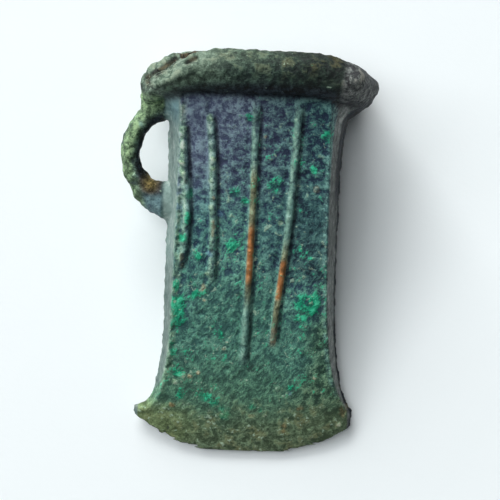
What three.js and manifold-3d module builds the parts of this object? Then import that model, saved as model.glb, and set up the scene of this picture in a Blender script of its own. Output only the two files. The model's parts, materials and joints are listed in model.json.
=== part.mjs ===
// A Late Bronze Age socketed axe head, lying on its back as a loose find does.
//
// It is one hollow bronze casting: a wedge-shaped body of six-sided section with a worn, splayed blade,
// a heavy rounded collar round the mouth, a socket that tapers to a wedge inside the body, crooked ribs
// cast on both faces, and one side loop that springs from under the collar.
//
// The axe is first modelled in its own axes, in millimetres: x across the blade, y along the axe from the
// middle of the cutting edge (0) to the mouth (LENGTH), z through its thickness, with the front face up.
// It is then laid on its back on the plane z = 0, resting on the collar and on the blade near its edge.

import * as THREE from "three";
import { LoftGeometry } from "three/addons/geometries/LoftGeometry.js";
import { mergeVertices } from "three/addons/utils/BufferGeometryUtils.js";
import Module from "manifold-3d";

// ---------------------------------------------------------------- driving dimensions

const LENGTH = 90; // cutting edge to mouth

// The two long sides differ: the loop side (left, -x) ends in a sharp tip, the other tip is worn blunt.
// droop is how much lower the collar's end hangs than its middle.
const LEFT = { waist: 18.3, splay: 6.5, splayLength: 4.2, spread: 0.5, collar: 6.1, droop: 1.6, edgeRise: 8.6 };
const RIGHT = { waist: 19.0, splay: 5.6, splayLength: 8.5, spread: 2.2, collar: 5.6, droop: 1.3, edgeRise: 7.4 };
const WAIST_Y = 50; // the narrowest place along the body
const SPREAD_POWER = 4; // how late the neck spreads out towards the collar
const TIP_Y = 10.5; // where the blade is widest
const TIP_ROUNDING = 0.9; // how far the width draws in again from there to the cutting edge

const EDGE_HALF = 0.55; // half the thickness of the blunt, corroded cutting edge
const NECK_HALF = 12.4; // half the body's thickness under the collar
const WEDGE_POWER = 0.8; // below 1 makes the wedge swell a little between edge and collar
const EDGE_POWER = 2.9; // how late the edge turns up by edgeRise towards the tips
const EDGE_FADE = 24; // length over which the edge's curve dies out along the body

const COLLAR_START = 81.6; // underside of the collar, in the middle of a face
const COLLAR_CREST = 86.2; // its widest place
const COLLAR_THICK = 4.7; // how far it stands proud of the two faces
// The collar's roundness above and below its crest: a lower fullness is fuller.
const COLLAR_ABOVE = { fullness: 1.0, reach: LENGTH + 0.4 - COLLAR_CREST };
const COLLAR_BELOW = { fullness: 0.6, reach: COLLAR_CREST - COLLAR_START };

// Collar and rim run straight over each face, then sag towards the two sides, as the neck does from its top.
const SAG = { straightHalf: 12, over: 12, depth: 2.8, neckY: 70 };
const RIM_WEAR = { from: -8, to: -21, depth: 3.3, startY: 81 }; // the front lip, worn away on the loop side
const MOUTH_LEAN = 0.075; // how much further the mouth's plane reaches in front, for each mm of thickness

const WALL = 2.9; // thickness of the casting round the socket, on the two faces
const MOUTH_HALF = { width: 16.8, thick: NECK_HALF - WALL };
const SOCKET_END = { y: 27, halfWidth: 13, closing: 18 }; // it closes to a wedge over the last 18 mm
const SOCKET_SLOPE = { mouth: 3.2, end: 1.3 }; // how far its sides round over towards the faces

// How far the sloping side lies outside the long edge of the face. That edge runs straight up the neck,
// then flares outwards over the collar, so the collar's ends are sloping sides too.
const SIDE_SLOPE = { least: 0.4, withThickness: 0.19, leastAtRim: 0.9 };
const EDGE_FLARE = { over: 5.6, from: 81.2, to: 88.5 };
const COLLAR_SOFTNESS = 0.45; // how far the collar's corners are rounded, from 0 to 1
const SEAM_FLASH = 0.35; // height of the casting seam along both sides
const FACE_BEAD = 0.4; // height of the bead along each long edge of a face
const THIN = 3; // below this half thickness, seam and bead shrink towards the cutting edge

const REST = { collar: 0.3, blade: 0.08 }; // depth of the flats where the collar's and blade's backs lie

const RIB = { halfWidth: 0.95, height: 0.85, bedded: 0.05, root: 0.85, fade: 4, steps: 17 };
// Each rib is a path of [x, y] points over its face, from the collar downwards.
const FRONT_RIBS = [
  [[-15.2, 76], [-14.5, 66], [-13.8, 56], [-14.1, 48], [-15.2, 42.5]],
  [[-9.5, 78], [-8.7, 70], [-8.2, 60], [-8.0, 50], [-8.0, 39.5]],
  [[0.3, 82], [0.3, 60], [0.1, 45], [-0.2, 32], [-0.4, 20.5]],
  [[9.4, 82], [8.9, 68], [8.5, 58], [7.7, 48], [6.3, 34], [5.8, 25.5]],
];
const BACK_RIBS = [
  [[-9.0, 82], [-8.6, 60], [-8.2, 38]],
  [[0.2, 82], [0, 55], [0, 30]],
  [[9.0, 82], [8.6, 60], [8.0, 38]],
];

// The loop's centre line as [x, y], from its upper root under the collar round to its broad lower root.
const LOOP_PATH = [
  [-16.0, 78.4],
  [-19.7, 77.6],
  [-23.4, 74.9],
  [-26.2, 70.9],
  [-26.9, 66.2],
  [-25.6, 62.0],
  [-22.9, 58.5],
  [-17.0, 56.2],
];
const LOOP = { halfStrap: 2.1, halfDepth: 2.8, upperSwell: 2.3, lowerSwell: 2.1, sides: 12, steps: 21 };

// ---------------------------------------------------------------- how the body changes along its length

const clamp01 = (value) => Math.min(1, Math.max(0, value));
const smooth = (value) => clamp01(value) ** 2 * (3 - 2 * clamp01(value));

// How far the collar stands out at y, from 0 to 1, where its underside hangs lower by droop.
function collarSwell(y, droop = 0) {
  const above = y > COLLAR_CREST;
  const { fullness, reach } = above ? COLLAR_ABOVE : COLLAR_BELOW;
  const share = Math.abs(y - COLLAR_CREST) / (reach + (above ? 0 : droop));
  return share < 1 ? Math.cos((share * Math.PI) / 2) ** fullness : 0;
}

// Half the body's width at its seam, on one side.
function halfWidth(side, y) {
  const blade = side.splay * Math.exp(-Math.max(0, y - TIP_Y) / side.splayLength);
  const roundedTip = TIP_ROUNDING * clamp01((TIP_Y - y) / TIP_Y) ** 2;
  return side.waist + blade - roundedTip + upperSpread(side, y);
}

// How far the neck and the collar stand out sideways from the straight body.
function upperSpread(side, y) {
  const neck = side.spread * clamp01((y - WAIST_Y) / (COLLAR_START - WAIST_Y)) ** SPREAD_POWER;
  return neck + side.collar * collarSwell(y, side.droop);
}

// Half the body's thickness, without the collar.
function wedgeThick(y) {
  const share = clamp01(y / COLLAR_START) ** WEDGE_POWER;
  return EDGE_HALF + (NECK_HALF - EDGE_HALF) * share;
}

const halfThick = (y) => wedgeThick(y) + COLLAR_THICK * collarSwell(y);

function sideSlope(side, y) {
  const flare = EDGE_FLARE.over * smooth((y - EDGE_FLARE.from) / (EDGE_FLARE.to - EDGE_FLARE.from));
  const onBody = SIDE_SLOPE.least + SIDE_SLOPE.withThickness * wedgeThick(y);
  return onBody + Math.max(SIDE_SLOPE.leastAtRim - onBody, upperSpread(side, y) - flare);
}

// ---------------------------------------------------------------- sections

// One quarter of a section, from the seam at the side to the middle of a face, as [x, z] for x >= 0.
// rounding runs from 0, a crisp six-sided body, to 1, the soft corners of the collar and the socket.
function quarterSection({ width, slope, thick, flash, bead, rounding }) {
  const edge = width - slope;
  const mix = (crisp, soft) => crisp + (soft - crisp) * rounding;
  const corner = [
    [width + flash, 0],
    [width - 0.06 * slope, 0.1 * thick],
    [width - mix(0.5, 0.14) * slope, mix(0.5, 0.42) * thick],
    [edge + mix(0.12, 0.5) * slope, mix(0.9, 0.74) * thick],
    [edge - mix(0.25, 0.1), mix(1, 0.93) * thick + bead],
    [edge - mix(1.2, 2.2), thick],
  ];
  const innermost = corner[corner.length - 1][0];
  const face = [0.8, 0.6, 0.4, 0.2].map((share) => [innermost * share, thick]);
  return [...corner, ...face];
}

// A whole ring of [x, z], in order: left seam, front face, right seam, back face.
function ring(left, right) {
  const leftQuarter = quarterSection(left).map(([x, z]) => [-x, z]);
  const rightQuarter = quarterSection(right);
  const middle = [[0, left.thick]];
  const front = [...leftQuarter, ...middle, ...rightQuarter.toReversed()];
  const back = front.slice(1, -1).map(([x, z]) => [x, -z]);
  return [...front, ...back.toReversed()];
}

// The curved cutting edge, fading into straight sections along the body.
function bladeCurve(x, station) {
  const { waist, splay, edgeRise } = x < 0 ? LEFT : RIGHT;
  const fade = 1 - smooth(station / EDGE_FADE);
  return edgeRise * fade * Math.abs(x / (waist + splay)) ** EDGE_POWER;
}

// How far collar and rim sag towards the sides of the axe.
function sag(x, station) {
  const nearCollar = smooth((station - SAG.neckY) / (COLLAR_START - SAG.neckY));
  return SAG.depth * nearCollar * smooth((Math.abs(x) - SAG.straightHalf) / SAG.over);
}

// How far the rim stands back from its straight line: worn away at one end in front, and leaning with the
// mouth's plane.
function wear(x, z, station) {
  const nearRim = smooth((station - RIM_WEAR.startY) / (LENGTH - RIM_WEAR.startY));
  const place = smooth((x - RIM_WEAR.from) / (RIM_WEAR.to - RIM_WEAR.from));
  return nearRim * (RIM_WEAR.depth * place * smooth(z / MOUTH_HALF.thick) - MOUTH_LEAN * z);
}

function bodyRing(station) {
  const small = clamp01(wedgeThick(station) / THIN);
  const rounding = smooth(collarSwell(station) * 1.5);
  const shape = (of) => ({
    width: halfWidth(of, station + of.edgeRise * (1 - smooth(station / EDGE_FADE))),
    slope: sideSlope(of, station),
    thick: halfThick(station),
    flash: SEAM_FLASH * small * (1 - rounding),
    bead: FACE_BEAD * small * (1 - rounding),
    rounding: COLLAR_SOFTNESS * rounding,
  });
  const along = (x, z) => station + bladeCurve(x, station) - sag(x, station) - wear(x, z, station);
  return ring(shape(LEFT), shape(RIGHT)).map(([x, z]) => new THREE.Vector3(x, along(x, z), z));
}

// share runs from 0 at the mouth to 1 at the socket's end, where the ring closes flat on itself.
function socketRing(share) {
  const y = LENGTH + (SOCKET_END.y - LENGTH) * share;
  const closing = Math.sqrt(clamp01((y - SOCKET_END.y) / SOCKET_END.closing));
  const shape = {
    width: MOUTH_HALF.width + (SOCKET_END.halfWidth - MOUTH_HALF.width) * share ** 2,
    slope: SOCKET_SLOPE.mouth + (SOCKET_SLOPE.end - SOCKET_SLOPE.mouth) * share,
    thick: (wedgeThick(y) - WALL) * closing,
    flash: 0,
    bead: 0,
    rounding: 1,
  };
  return ring(shape, shape).map(([x, z]) => new THREE.Vector3(x, y - sag(x, y) - wear(x, z, y), z));
}

// ---------------------------------------------------------------- pieces of the casting

// Places from one value to another in even steps, both ends included.
function evenly(from, to, count) {
  return Array.from({ length: count }, (_, i) => from + ((to - from) * i) / (count - 1));
}

// Stations are close together at the blade's tips and round the collar, and further apart between.
function stations() {
  const blade = evenly(0, 1, 11).map((share) => EDGE_FADE * share ** 1.6);
  const body = evenly(EDGE_FADE, COLLAR_START, 15).slice(1, -1);
  return [...blade, ...body, ...evenly(COLLAR_START, LENGTH, 13)];
}

// Outer skin up to the rim, over it, and down the socket to its wedge-shaped end, as one closed surface.
function casting() {
  const outside = stations().map(bodyRing);
  const inside = evenly(-1, 1, 15).map((share) => socketRing((1 + Math.sin((share * Math.PI) / 2)) / 2));
  return new LoftGeometry([...outside, ...inside], { capStart: true });
}

const curveThrough = (path) => new THREE.CatmullRomCurve3(path.map(([x, y]) => new THREE.Vector3(x, y, 0)));

// A rib's section as [x, z] from its own middle: a low half round on a root sunk into the face.
function ribSection(alive) {
  const half = RIB.halfWidth * (0.6 + 0.4 * alive);
  const height = RIB.height * alive;
  const arch = evenly(Math.PI, 0, 6).map((turn) => {
    return [Math.cos(turn) * half, Math.sin(turn) * height - RIB.bedded];
  });
  return [...arch, [half, -RIB.root], [-half, -RIB.root]];
}

// A rib on the front (facing 1) or the back (facing -1), which dies out at its lower end.
function rib(path, facing) {
  const curve = curveThrough(path);
  const top = path[0][1];
  const end = path[path.length - 1][1];
  const sections = evenly(0, 1, RIB.steps).map((share) => {
    const { x, y } = curve.getPointAt(share);
    const alive = Math.min(smooth(top - y + 0.3), smooth((y - end) / RIB.fade + 0.12));
    const placed = ribSection(alive).map(([across, up]) => {
      return new THREE.Vector3(x + across, y, facing * (wedgeThick(y) + up));
    });
    return facing > 0 ? placed.toReversed() : placed;
  });
  return new LoftGeometry(sections, { capStart: true, capEnd: true });
}

// The side loop: an oval strap swept along its path, swelling where it runs into the body.
function loop() {
  const curve = curveThrough(LOOP_PATH);
  const through = new THREE.Vector3(0, 0, 1);
  const sections = evenly(0, 1, LOOP.steps).map((share) => {
    const centre = curve.getPointAt(share);
    const across = new THREE.Vector3().crossVectors(through, curve.getTangentAt(share));
    const swell = LOOP.lowerSwell * smooth((share - 0.65) / 0.35) + LOOP.upperSwell * smooth(1 - share / 0.3);
    return evenly(0, 2 * Math.PI, LOOP.sides + 1)
      .slice(1)
      .map((turn) =>
        centre
          .clone()
          .addScaledVector(across, Math.cos(turn) * (LOOP.halfStrap + swell))
          .addScaledVector(through, Math.sin(turn) * (LOOP.halfDepth + 0.5 * swell)),
      );
  });
  return new LoftGeometry(sections, { capStart: true, capEnd: true });
}

// ---------------------------------------------------------------- joining

const wasm = await Module();
wasm.setup();

// A closed three.js geometry as a solid, whichever way round its faces were made.
function solidOf(geometry) {
  const bare = new THREE.BufferGeometry();
  bare.setAttribute("position", geometry.attributes.position);
  bare.setIndex(geometry.index);
  const merged = mergeVertices(bare, 1e-3);
  const corners = merged.index.array;
  const kept = [];
  for (let i = 0; i < corners.length; i += 3) {
    const [a, b, c] = corners.slice(i, i + 3);
    if (a !== b && b !== c && c !== a) kept.push(a, b, c);
  }
  const vertProperties = merged.attributes.position.array;
  const build = (corners) =>
    new wasm.Manifold(new wasm.Mesh({ numProp: 3, vertProperties, triVerts: new Uint32Array(corners) }));
  const made = build(kept);
  return made.volume() > 0 ? made : build(kept.toReversed());
}

function geometryOf(solid) {
  const mesh = solid.getMesh();
  const geometry = new THREE.BufferGeometry();
  geometry.setAttribute("position", new THREE.BufferAttribute(new Float32Array(mesh.vertProperties), 3));
  geometry.setIndex(new THREE.BufferAttribute(new Uint32Array(mesh.triVerts), 1));
  return geometry;
}

// ---------------------------------------------------------------- the axe, laid on its back

// The axe tips back until its blade and its collar, worn flat at the crest, touch the floor together.
function lieDown(geometry) {
  const crest = halfThick(COLLAR_CREST) - REST.collar;
  const slopes = stations()
    .filter((y) => y < WAIST_Y)
    .map((y) => (crest - wedgeThick(y) + REST.blade) / (COLLAR_CREST - y));
  const angle = Math.atan(Math.min(...slopes));
  const floor = COLLAR_CREST * Math.sin(angle) - crest * Math.cos(angle);
  geometry.rotateX(angle).translate(0, 0, -floor);
  const belowFloor = new THREE.BoxGeometry(4 * LENGTH, 4 * LENGTH, LENGTH).translate(0, 0, -LENGTH / 2);
  const flattened = geometryOf(solidOf(geometry).subtract(solidOf(belowFloor)));
  flattened.computeBoundingBox();
  const centre = flattened.boundingBox.getCenter(new THREE.Vector3());
  return flattened.translate(-centre.x, -centre.y, 0);
}

const ribs = [
  ...FRONT_RIBS.map((path) => rib(path, 1)),
  ...BACK_RIBS.map((path) => rib(path, -1)),
];
const joined = [...ribs, loop()].reduce((whole, piece) => whole.add(solidOf(piece)), solidOf(casting()));

const bronze = new THREE.MeshStandardMaterial({ color: 0x35584a, roughness: 0.8, metalness: 0.15 });
const axeHead = new THREE.Mesh(lieDown(geometryOf(joined)), bronze);
axeHead.name = "axe_head";
axeHead.geometry.computeVertexNormals();

const axe = new THREE.Group();
axe.add(axeHead);

export default axe;
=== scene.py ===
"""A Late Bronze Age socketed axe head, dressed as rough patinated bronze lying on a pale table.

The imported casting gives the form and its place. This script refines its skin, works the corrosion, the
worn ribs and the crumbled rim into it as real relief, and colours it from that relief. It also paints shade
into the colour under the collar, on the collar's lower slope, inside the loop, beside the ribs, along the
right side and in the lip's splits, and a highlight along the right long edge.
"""

import json
import logging
import math
from dataclasses import dataclass, field, replace
from enum import Enum
from typing import Any, Iterable, Sequence

import bpy
import numpy as np
from mathutils import Matrix, Vector


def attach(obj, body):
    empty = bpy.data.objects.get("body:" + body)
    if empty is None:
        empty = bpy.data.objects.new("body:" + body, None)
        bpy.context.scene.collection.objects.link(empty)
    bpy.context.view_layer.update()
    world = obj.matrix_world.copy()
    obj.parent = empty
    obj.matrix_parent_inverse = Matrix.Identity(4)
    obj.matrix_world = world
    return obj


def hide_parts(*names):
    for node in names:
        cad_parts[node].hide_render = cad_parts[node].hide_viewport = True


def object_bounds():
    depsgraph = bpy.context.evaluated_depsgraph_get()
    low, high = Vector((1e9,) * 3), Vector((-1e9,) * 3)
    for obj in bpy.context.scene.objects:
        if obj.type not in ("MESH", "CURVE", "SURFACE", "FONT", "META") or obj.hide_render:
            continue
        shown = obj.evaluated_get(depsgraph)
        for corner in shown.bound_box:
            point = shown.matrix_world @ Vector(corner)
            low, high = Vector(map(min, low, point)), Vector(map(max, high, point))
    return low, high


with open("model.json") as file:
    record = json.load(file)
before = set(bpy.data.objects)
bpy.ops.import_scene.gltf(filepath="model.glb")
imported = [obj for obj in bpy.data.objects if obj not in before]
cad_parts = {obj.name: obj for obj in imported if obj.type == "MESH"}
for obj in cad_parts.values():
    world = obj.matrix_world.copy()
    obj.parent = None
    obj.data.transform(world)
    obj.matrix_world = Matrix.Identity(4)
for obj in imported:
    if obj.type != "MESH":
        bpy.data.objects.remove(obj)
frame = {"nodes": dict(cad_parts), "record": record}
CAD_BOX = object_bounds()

MM = 0.001
MOUTH_LEAN = 0.075  # how much further the mouth reaches in front, for each mm of thickness
log = logging.getLogger("axe_head")

Array = np.ndarray
Colour = tuple[float, float, float]


# ---------------------------------------------------------------- small maths


def smooth(low: float, high: float, value: Array) -> Array:
    """Runs smoothly from 0 at low to 1 at high; low may be the larger one."""
    share = np.clip((value - low) / (high - low), 0.0, 1.0)
    return share * share * (3.0 - 2.0 * share)


def bell(distance: Array, reach: float) -> Array:
    """A soft hump: 1 at distance 0, a third at reach."""
    return np.exp(-((distance / reach) ** 2))


def linear(red: int, green: int, blue: int) -> Colour:
    """Turns a colour as seen on a screen, 0 to 255, into the linear values that materials take."""
    shares = [channel / 255 for channel in (red, green, blue)]
    return tuple(s / 12.92 if s <= 0.04045 else ((s + 0.055) / 1.055) ** 2.4 for s in shares)


class Grain:
    """Seeded smooth noise over points in space, about -1 to 1."""

    def __init__(self, seed: int) -> None:
        """Lays out the noise's lattice.

        Args:
            seed: any whole number; the same one always gives the same noise.
        """
        dice = np.random.default_rng(seed)
        order = dice.permutation(256)
        self.order = np.concatenate([order, order, order[:2]])
        slopes = dice.normal(size=(256, 3))
        self.slopes = slopes / np.linalg.norm(slopes, axis=1)[:, None]

    def at(self, points: Array, wavelength: float, octaves: int = 1) -> Array:
        """Reads the noise.

        Args:
            points: places, one row each, in the units of wavelength.
            wavelength: size of the largest lumps.
            octaves: how many layers, each half as large and half as strong as the last.

        Returns:
            One value for each point.
        """
        total = np.zeros(len(points))
        strength, reach = 1.0, 0.0
        for octave in range(octaves):
            total += strength * self._layer(points / wavelength * 2.0**octave + 17.3 * octave)
            reach += strength
            strength *= 0.5
        return total / reach * 1.7

    def _layer(self, points: Array) -> Array:
        """One layer of noise with lumps of size 1."""
        cell = np.floor(points).astype(int)
        inside = points - cell
        cell &= 255
        ease = inside**3 * (inside * (inside * 6 - 15) + 10)
        total = np.zeros(len(points))
        for dx in (0, 1):
            for dy in (0, 1):
                for dz in (0, 1):
                    row = self.order[cell[:, 0] + dx]
                    row = self.order[(row + cell[:, 1] + dy) & 255]
                    row = self.order[(row + cell[:, 2] + dz) & 255]
                    away = inside - (dx, dy, dz)
                    weight = np.abs(1 - dx - ease[:, 0])
                    weight = weight * np.abs(1 - dy - ease[:, 1]) * np.abs(1 - dz - ease[:, 2])
                    total += weight * np.einsum("ij,ij->i", self.slopes[row], away)
        return total


# ---------------------------------------------------------------- the axe's own axes and form


@dataclass(frozen=True)
class AxeAxes:
    """The axe's own axes: x across the blade, y from cutting edge to mouth, z out of the front, in mm."""

    mount: Vector
    along: Vector
    rim_place: tuple[float, float, float] = (2.0, 89.107, -11.90)

    @classmethod
    def of_record(cls, record: dict[str, Any]) -> "AxeAxes":
        """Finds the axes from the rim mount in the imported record.

        Args:
            record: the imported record.

        Returns:
            The axe's axes.
        """
        rim = next(m for m in record["mounts"] if m["name"] == "haft_rim")
        lean = Matrix.Rotation(math.atan(MOUTH_LEAN), 3, "X")
        return cls(Vector(rim["pos_m"]), lean @ Vector(rim["axis"]).normalized())

    def _turn(self) -> Array:
        """The axe's three axes as rows."""
        across = Vector((1, 0, 0))
        return np.array([across, self.along, across.cross(self.along)])

    def own(self, points: Array) -> Array:
        """Points of the frame, in metres, as places on the axe, in mm."""
        return (points - np.array(self.mount)) @ self._turn().T / MM + np.array(self.rim_place)

    def placed(self, places: Array) -> Array:
        """Places on the axe, in mm, as points of the frame, in metres."""
        return (places - np.array(self.rim_place)) * MM @ self._turn() + np.array(self.mount)

    def own_direction(self, directions: Array) -> Array:
        """Directions of the frame in the axe's axes."""
        return directions @ self._turn().T


@dataclass(frozen=True)
class LongSide:
    """One long side's outline, in mm: the waist, the blade's splay, the neck's spread and the edge's rise."""

    waist: float
    splay: float
    splay_length: float
    spread: float
    edge_rise: float


@dataclass(frozen=True)
class AxeForm:
    """The casting's main sizes, in mm, as the solid was built."""

    length: float = 90.0
    left: LongSide = LongSide(18.3, 6.5, 4.2, 0.5, 8.6)
    right: LongSide = LongSide(19.0, 5.6, 8.5, 2.2, 7.4)
    waist_y: float = 50.0
    tip_y: float = 10.5
    edge_half: float = 0.55
    neck_half: float = 12.4
    collar_start: float = 81.6

    def thick(self, y: Array) -> Array:
        """Half the body's thickness without the collar."""
        share = np.clip(y / self.collar_start, 0, 1) ** 0.8
        return self.edge_half + (self.neck_half - self.edge_half) * share

    def seam(self, x: Array, y: Array) -> Array:
        """Half the body's width at the seam, on the side where x lies, without the collar."""
        widths = []
        for side in (self.left, self.right):
            blade = side.splay * np.exp(-np.maximum(0, y - self.tip_y) / side.splay_length)
            rise = np.clip((y - self.waist_y) / (self.collar_start - self.waist_y), 0, 1)
            widths.append(side.waist + blade + side.spread * rise**4)
        return np.where(x < 0, widths[0], widths[1])

    def long_edge(self, x: Array, y: Array) -> Array:
        """Half the front face's width, from its middle line to its long edge."""
        return self.seam(x, y) - (0.4 + 0.19 * self.thick(y)) - 0.25

    def collar_y(self, x: Array, y: Array, z: Array) -> Array:
        """Place along the axe, counted as if collar and rim ran straight over the sides."""
        near = smooth(70.0, self.collar_start, y)
        straight = y + 2.8 * near * smooth(0.0, 1.0, (np.abs(x) - 12.0) / 12.0)
        worn = 3.3 * smooth(-8.0, -21.0, x) * smooth(0.0, 9.5, z) - MOUTH_LEAN * z
        return straight + worn * smooth(81.0, self.length, straight + 0.5 * worn)

    def edge_distance(self, x: Array, y: Array) -> Array:
        """Distance from the curved cutting edge, along the axe."""
        share = np.where(x < 0, -x / 24.8, x / 24.6)
        rise = np.where(x < 0, self.left.edge_rise, self.right.edge_rise)
        return y - rise * np.clip(share, 0, 1.2) ** 2.9


@dataclass(frozen=True)
class Rib:
    """A crooked rib on the front: its path from the collar down, and how worn and knotted it is."""

    path: tuple[tuple[float, float], ...]
    knots: float
    crust: float

    def off(self, x: Array, y: Array) -> Array:
        """Signed distance to the right of the rib's middle."""
        ys = [point[1] for point in self.path][::-1]
        xs = [point[0] for point in self.path][::-1]
        return x - np.interp(y, ys, xs)

    def alive(self, y: Array) -> Array:
        """1 along the rib, fading to 0 past its ends."""
        top, end = self.path[0][1], self.path[-1][1]
        return smooth(end - 0.5, end + 3.0, y) * smooth(top + 0.5, top - 3.0, y)


RIBS = (
    Rib(((-15.2, 76), (-14.5, 66), (-13.8, 56), (-14.1, 48), (-15.2, 42.5)), knots=0.55, crust=1.0),
    Rib(((-9.5, 78), (-8.7, 70), (-8.2, 60), (-8.0, 50), (-8.0, 39.5)), knots=0.5, crust=0.9),
    Rib(((0.3, 80.5), (0.3, 60), (0.1, 45), (-0.2, 32), (-0.4, 20.5)), knots=0.18, crust=0.55),
    Rib(((9.3, 80.5), (8.9, 68), (8.5, 58), (7.7, 48), (6.3, 34), (5.8, 25.5)), knots=0.15, crust=0.6),
)


# ---------------------------------------------------------------- corrosion


class Tint(Enum):
    """The corrosion products and bare metal that stand out on the patina."""

    EMERALD = "emerald"
    PALE = "pale"
    BUFF = "buff"
    RUST = "rust"
    BLUE = "blue"
    BLACK = "black"


@dataclass(frozen=True)
class Growth:
    """One spot of corrosion on the front: place and reach in mm, height, and its tint's strength."""

    tint: Tint
    x: float
    y: float
    reach: float
    height: float = 0.0
    strength: float = 1.0
    stretch: float = 1.0


@dataclass(frozen=True)
class Crevice:
    """A crumbled split in the front of the mouth, in mm: where it runs, its half width and its depth."""

    start: tuple[float, float]
    end: tuple[float, float]
    half: float
    depth: float

    def near(self, x: Array, y: Array) -> Array:
        """1 in the split, falling to 0 beside it."""
        run_x, run_y = self.end[0] - self.start[0], self.end[1] - self.start[1]
        share = ((x - self.start[0]) * run_x + (y - self.start[1]) * run_y) / (run_x**2 + run_y**2)
        share = np.clip(share, 0.0, 1.0)
        off = np.hypot(x - self.start[0] - share * run_x, y - self.start[1] - share * run_y)
        return smooth(2.0 * self.half, 0.5 * self.half, off)


CREVICES = (
    Crevice((-20.9, 85.2), (-17.6, 87.8), 0.5, 1.5),
    Crevice((-14.4, 88.0), (-12.7, 88.9), 0.4, 1.0),
    Crevice((-23.2, 83.6), (-22.8, 82.8), 0.7, 1.3),
    Crevice((-22.2, 84.6), (-21.6, 85.2), 0.4, 0.8),
)
LIP_RIDGE = Crevice((-21.4, 83.6), (-13.5, 87.0), 1.0, 0.0)  # the run of the raised lip beside the splits

# each tint's spots: place, reach, height, strength and stretch, as a Growth takes them
SPOTS: dict[Tint, tuple[tuple[float, ...], ...]] = {
    Tint.EMERALD: (  # crusts
        (12.4, 36.4, 2.3, 0.2, 1.0, 0.8), (14.2, 34.8, 1.7, 0.15, 1.0, 1.2), (12.4, 33.0, 2.4, 0.05, 0.6),
        (-15.3, 34.8, 1.9, 0.2, 1.0, 1.7), (-14.6, 31.6, 1.7, 0.15, 0.8, 1.2),
        (-15.7, 39.2, 0.8, 0.15, 0.9, 1.4), (-11.5, 37.6, 0.9, 0.15, 0.9, 1.5),
        (-12.6, 40.8, 0.7, 0.1, 0.9), (-10.9, 45.9, 1.0, 0.2, 0.9), (-13.5, 54.6, 0.8, 0.25, 1.0, 2.2),
        (-14.6, 50.0, 1.4, 0.3, 0.9, 0.8), (-13.4, 59.8, 0.9, 0.15, 0.8, 1.4), (-3.8, 48.2, 1.2, 0.15, 0.8),
        (-1.5, 58.7, 1.0, 0.15, 0.8), (-3.4, 60.6, 1.5, 0.1, 0.6), (-0.9, 76.8, 1.0, 0.15, 0.7),
        (15.4, 73.5, 1.0, 0.1, 0.7, 2.2), (13.0, 66.0, 0.8, 0.15, 0.8), (5.0, 62.4, 1.8, 0.1, 0.6),
        (-5.4, 28.2, 0.7, 0.15, 0.9, 2.2), (-16.2, 24.4, 0.6, 0.1, 0.8, 3.2), (-14.9, 18.8, 1.2, 0.15, 0.8),
        (-14.4, 13.2, 0.9, 0.1, 0.8, 1.5), (-4.3, 9.3, 1.6, 0.2, 1.0, 1.3),
        (-6.4, 11.7, 1.4, 0.15, 1.0, 0.9), (-8.6, 13.0, 1.6, 0.0, 0.6), (2.0, 11.0, 1.0, 0.1, 0.9, 0.8),
        (4.0, 10.4, 0.7, 0.1, 0.9), (10.6, 16.0, 0.9, 0.1, 0.9),
    ),
    Tint.PALE: (  # limy lumps
        (-9.3, 76.4, 0.9, 0.3, 0.8), (-8.5, 67.8, 0.8, 0.4), (-8.3, 65.6, 0.7, 0.3),
        (-8.8, 62.8, 0.7, 0.3, 0.6), (-8.6, 57.2, 0.8, 0.3, 0.7), (-14.4, 74.0, 0.6, 0.3, 0.7),
        (-15.2, 66.9, 0.9, 0.5), (-15.0, 64.5, 0.8, 0.4), (-8.9, 42.2, 0.8, 0.25, 0.8),
        (-13.9, 18.0, 1.0, 0.3), (-15.6, 16.6, 0.8, 0.25), (14.4, 69.0, 0.7, 0.2, 0.8),
        (21.9, 7.4, 0.8, 0.15, 0.9), (6.5, 54.2, 0.7, 0.15, 0.6),
    ),
    Tint.BUFF: (  # specks of soil
        (-4.7, 24.6, 0.6, 0.2), (-4.2, 26.4, 0.4, 0.15), (-9.8, 38.8, 0.7, 0.2, 0.7, 1.6),
        (-10.2, 18.8, 0.55, 0.15), (-12.1, 18.0, 0.6, 0.15), (15.5, 18.6, 0.4, 0.15),
        (13.8, 61.8, 0.8, 0.15, 0.8), (-9.4, 36.0, 0.45, 0.15, 0.8), (2.4, 72.8, 0.5, 0.1, 0.7),
        (-8.0, 59.3, 0.6, 0.25, 0.8),
    ),
    Tint.RUST: (  # stains
        (-8.0, 52.4, 0.6, 0.0, 0.7, 4.5), (-14.6, 45.2, 0.7, 0.0, 0.6, 3.5), (-15.9, 10.9, 0.9, 0.0, 0.8),
        (12.7, 11.2, 0.9, 0.0, 0.7), (9.3, 6.2, 0.8, 0.0, 0.6, 1.8), (22.3, 10.4, 1.1, 0.0, 0.5, 1.6),
        (1.9, 9.0, 0.9, 0.0, 0.3),
    ),
    Tint.BLUE: (  # azurite
        (-6.7, 55.6, 0.9, 0.0, 0.6), (-8.6, 46.6, 0.9, 0.0, 0.6), (10.4, 14.8, 0.7, 0.0, 0.5),
    ),
    Tint.BLACK: (  # stains and hollows
        (-8.1, 47.5, 0.8, -0.45, 0.8), (1.6, 20.2, 1.7, -0.1, 0.6), (-5.6, 16.0, 0.5, -0.1, 0.7, 1.8),
        (-14.2, 43.2, 0.6, -0.15, 0.9, 2.6), (-14.0, 62.4, 0.5, -0.1, 0.9, 1.4),
        (-16.8, 4.9, 0.35, -0.25, 1.0, 2.2),
    ),
}
GROWTHS = tuple(Growth(tint, *spot) for tint, spots in SPOTS.items() for spot in spots)


SHEEN = 0.007  # what the skin's dull gloss adds to its own colour


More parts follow.
